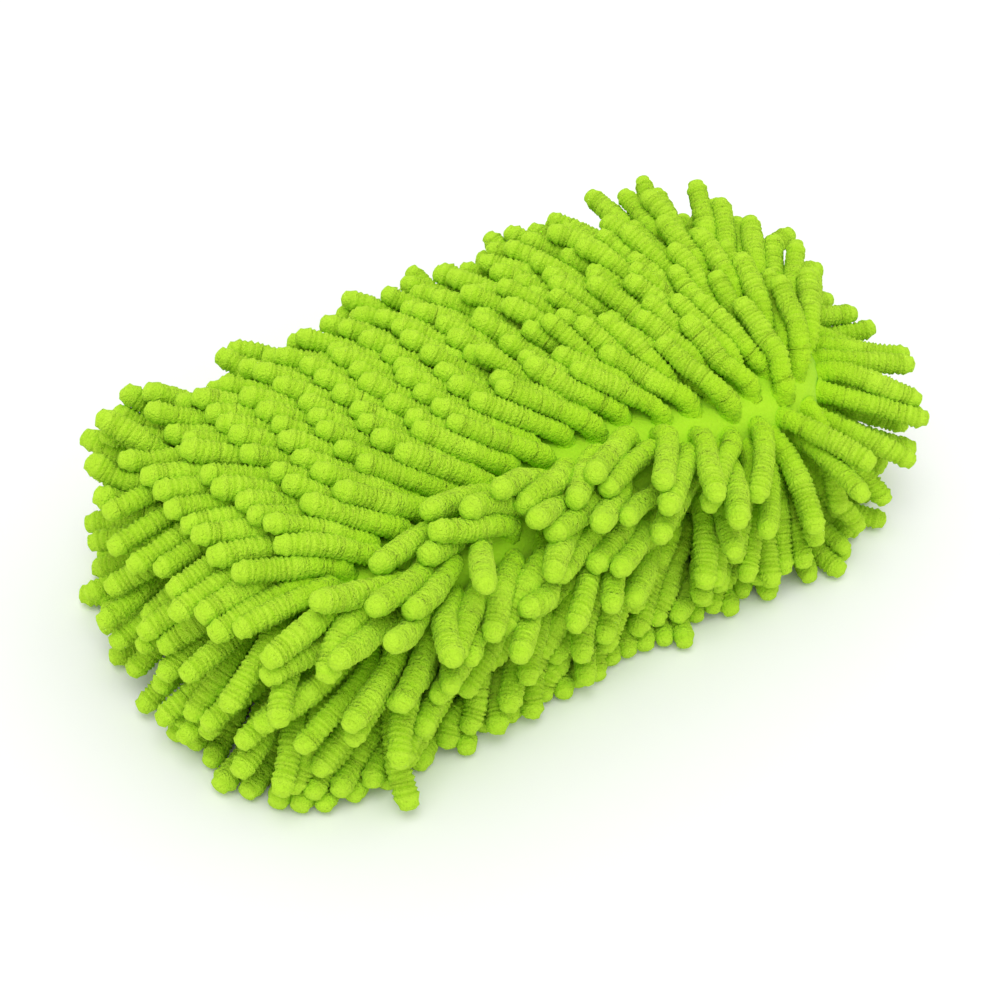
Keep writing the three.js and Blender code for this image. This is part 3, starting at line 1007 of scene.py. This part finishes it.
def chenille_colour_with_painted_light(nodes, links, painted_rib_and_tip_light, rise, pleats):
    """Painted light: pale rib crests, pleat crests and tips as painted highlight, darker between the
    ribs and in the pleat hollows as painted shade, and an even, deeper green at the root as painted
    shade among the fingers.
    """
    # Painted shade between the ribs, painted highlight on the rib crests and tips.
    ribs = colour_between(nodes, links, painted_rib_and_tip_light, (0.35, 0.69, 0.011), (0.60, 0.96, 0.052))
    # Painted shade in the pleat hollows and painted highlight on the pleat crests, by the same noise
    # that bumps the pleats.
    painted_pleat_light = colour_between(nodes, links, pleats, (0.38, 0.72, 0.014), (0.68, 0.98, 0.078))
    body = colour_mix(nodes)
    body.inputs["Factor"].default_value = 0.4
    links.new(ribs, body.inputs["A"])
    links.new(painted_pleat_light, body.inputs["B"])
    # Towards the root the colour goes over to an even, deeper green: painted shade down among the
    # crowded fingers.
    up_from_root = nodes.new("ShaderNodeMapRange")
    up_from_root.inputs["From Min"].default_value = 0.05
    up_from_root.inputs["From Max"].default_value = 0.55
    links.new(rise, up_from_root.inputs["Value"])
    whole = colour_mix(nodes)
    whole.inputs["A"].default_value = (0.48, 0.86, 0.021, 1)
    links.new(body.outputs["Result"], whole.inputs["B"])
    links.new(up_from_root.outputs["Result"], whole.inputs["Factor"])
    return whole.outputs["Result"]


def chenille_material():
    """Soft split fibre: pleats that follow each finger, under a nap of fine fibres."""
    material, tree, shader = new_material("chenille", (0.42, 0.78, 0.03), 0.95)
    nodes, links = tree.nodes, tree.links
    stretch = nodes.new("ShaderNodeMapping")
    stretch.inputs["Scale"].default_value = (260, 260, 1250)
    links.new(value_of(nodes, "unbent", "Vector"), stretch.inputs["Vector"])
    pleats = noise_at(nodes, links, stretch.outputs["Vector"], 1, 2)
    fibres = noise_at(nodes, links, nodes.new("ShaderNodeTexCoord").outputs["Object"], 1500, 3)
    painted_rib_and_tip_light, rise = value_of(nodes, "painted_rib_and_tip_light", "Fac"), value_of(nodes, "rise", "Fac")
    links.new(chenille_colour_with_painted_light(nodes, links, painted_rib_and_tip_light, rise, pleats), shader.inputs["Base Color"])
    under = bump_of(nodes, links, pleats, 0.7, 0.4 * MM)
    nap = bump_of(nodes, links, fibres, 1.0, 0.9 * MM)
    links.new(under.outputs["Normal"], nap.inputs["Normal"])
    links.new(nap.outputs["Normal"], shader.inputs["Normal"])
    shader.inputs["Specular IOR Level"].default_value = 0.05
    shader.inputs["Sheen Weight"].default_value = 0.12
    shader.inputs["Sheen Roughness"].default_value = 0.4
    shader.inputs["Sheen Tint"].default_value = (0.75, 1.0, 0.25, 1)
    return material


def soft_material(name, dark, light, roughness, grain, strength, sheen):
    """Cloth or foam: two near colours mottled by a fine grain that is also felt as a bump."""
    material, tree, shader = new_material(name, light, roughness)
    nodes, links = tree.nodes, tree.links
    place = nodes.new("ShaderNodeTexCoord").outputs["Object"]
    mottle = noise_at(nodes, links, place, grain, 3)
    links.new(colour_between(nodes, links, mottle, dark, light), shader.inputs["Base Color"])
    raised(nodes, links, shader, mottle, strength, 0.4 * MM)
    shader.inputs["Specular IOR Level"].default_value = 0.15
    shader.inputs["Sheen Weight"].default_value = sheen
    return material


def woven_material(name, dark, light, roughness, pitch, strength):
    """Woven tape: fine bands one way crossed by bands the other way."""
    material, tree, shader = new_material(name, light, roughness)
    nodes, links = tree.nodes, tree.links
    place = nodes.new("ShaderNodeTexCoord").outputs["Object"]
    bands = waves_along(nodes, links, "X", pitch, place)
    cross = waves_along(nodes, links, "Y", pitch, place)
    weave = nodes.new("ShaderNodeMath")
    weave.operation = "MAXIMUM"
    links.new(bands, weave.inputs[0])
    links.new(cross, weave.inputs[1])
    height = weave.outputs["Value"]
    links.new(colour_between(nodes, links, height, dark, light), shader.inputs["Base Color"])
    raised(nodes, links, shader, height, strength, 0.3 * MM)
    shader.inputs["Specular IOR Level"].default_value = 0.25
    return material


def foam_material():
    dark, light = (0.62, 0.52, 0.30), (0.80, 0.70, 0.46)
    return soft_material("foam", dark, light, 0.9, 900, 0.6, 0.0)


def knit_material():
    dark, light = (0.38, 0.70, 0.014), (0.50, 0.84, 0.030)
    return soft_material("knitted cloth", dark, light, 0.9, 1100, 0.8, 0.1)


def mesh_material():
    dark, light = (0.10, 0.24, 0.008), (0.17, 0.36, 0.014)
    return soft_material("mesh cloth", dark, light, 0.8, 1500, 0.5, 0.1)


def tape_material():
    dark, light = (0.26, 0.56, 0.008), (0.38, 0.74, 0.014)
    return woven_material("binding tape", dark, light, 0.8, 0.9 * MM, 0.7)


def elastic_material():
    dark, light = (0.010, 0.010, 0.011), (0.032, 0.033, 0.035)
    return woven_material("elastic", dark, light, 0.7, 0.8 * MM, 0.6)


def green_thread_material():
    dark, light = (0.26, 0.52, 0.007), (0.42, 0.78, 0.02)
    return woven_material("green thread", dark, light, 0.6, 0.6 * MM, 0.5)


def black_thread_material():
    dark, light = (0.012, 0.012, 0.013), (0.03, 0.03, 0.032)
    return woven_material("black thread", dark, light, 0.5, 0.6 * MM, 0.5)


def label_material():
    dark, light = (0.74, 0.74, 0.72), (0.86, 0.86, 0.84)
    return woven_material("satin label", dark, light, 0.45, 0.5 * MM, 0.3)


# ---- assembly ----
bpy.context.scene.view_settings.view_transform = "Standard"
add_camera()
add_floor()
add_lights()
add_fingers(chenille_material())
foam_block = add_foam(foam_material())
add_cover(knit_material())
add_panel(mesh_material())
add_binding(tape_material())
add_binding_stitches(green_thread_material())
elastic = elastic_material()
add_strap(elastic, -1, "strap_front_half", "strap_end_front")
add_strap(elastic, 1, "strap_rear_half", "strap_end_rear")
black_thread = black_thread_material()
add_bar_tack(black_thread, "bar_tack_front", "front_bar_tack")
add_bar_tack(black_thread, "bar_tack_rear", "rear_bar_tack")
add_label(label_material())
